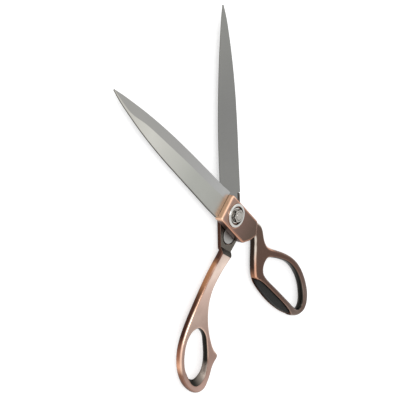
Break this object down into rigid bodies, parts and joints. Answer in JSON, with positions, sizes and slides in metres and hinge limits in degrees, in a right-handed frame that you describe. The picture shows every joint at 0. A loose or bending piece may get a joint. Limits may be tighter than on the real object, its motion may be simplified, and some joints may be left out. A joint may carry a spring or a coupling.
{
  "type": "fabric shears",
  "caption": "Bent-handle fabric shears with ground steel blades, copper-coloured cast handles, a rubber grip pad and a bolted pivot with washers and an adjusting nut.",
  "frame": {"origin": "on the pivot axis, at the flat underside of the pivot bolt's head, which is the lowest face of the shears as they lie", "axes": "+Z along the pivot axis, out of the nut side; +Y from the pivot towards the handles, midway between the two blades' lines; -Y towards the tips; +X to the side of the thumb handle"},
  "size_m": [0.1457, 0.2586, 0.0157],
  "materials": {
    "blade_steel": "satin ground",
    "handle_copper": "antique copper plate on a zinc casting, satin, with dark polished inner walls",
    "pad_rubber": "matte",
    "bright_hardware": "polished",
    "bearing_bronze": "machined"
  },
  "bodies": {
    "thumb_half": {"thumb_blade": "blade_steel", "thumb_handle": "handle_copper", "pivot_bolt": "bright_hardware", "rear_washer": "bright_hardware", "thrust_washer": "bearing_bronze", "spring_washer": "bright_hardware", "flat_washer": "bright_hardware", "adjusting_nut": "bright_hardware"},
    "finger_half": {"finger_blade": "blade_steel", "finger_handle": "handle_copper", "grip_pad": "pad_rubber", "pivot_sleeve": "bearing_bronze", "cup_ring": "bright_hardware"}
  },
  "joints": [
    {"name": "pivot", "type": "hinge", "parent": "thumb_half", "child": "finger_half", "pos_m": [0, 0, 0], "axis": [0, 0, 1], "range_deg": [-45.2, 35]}
  ]
}
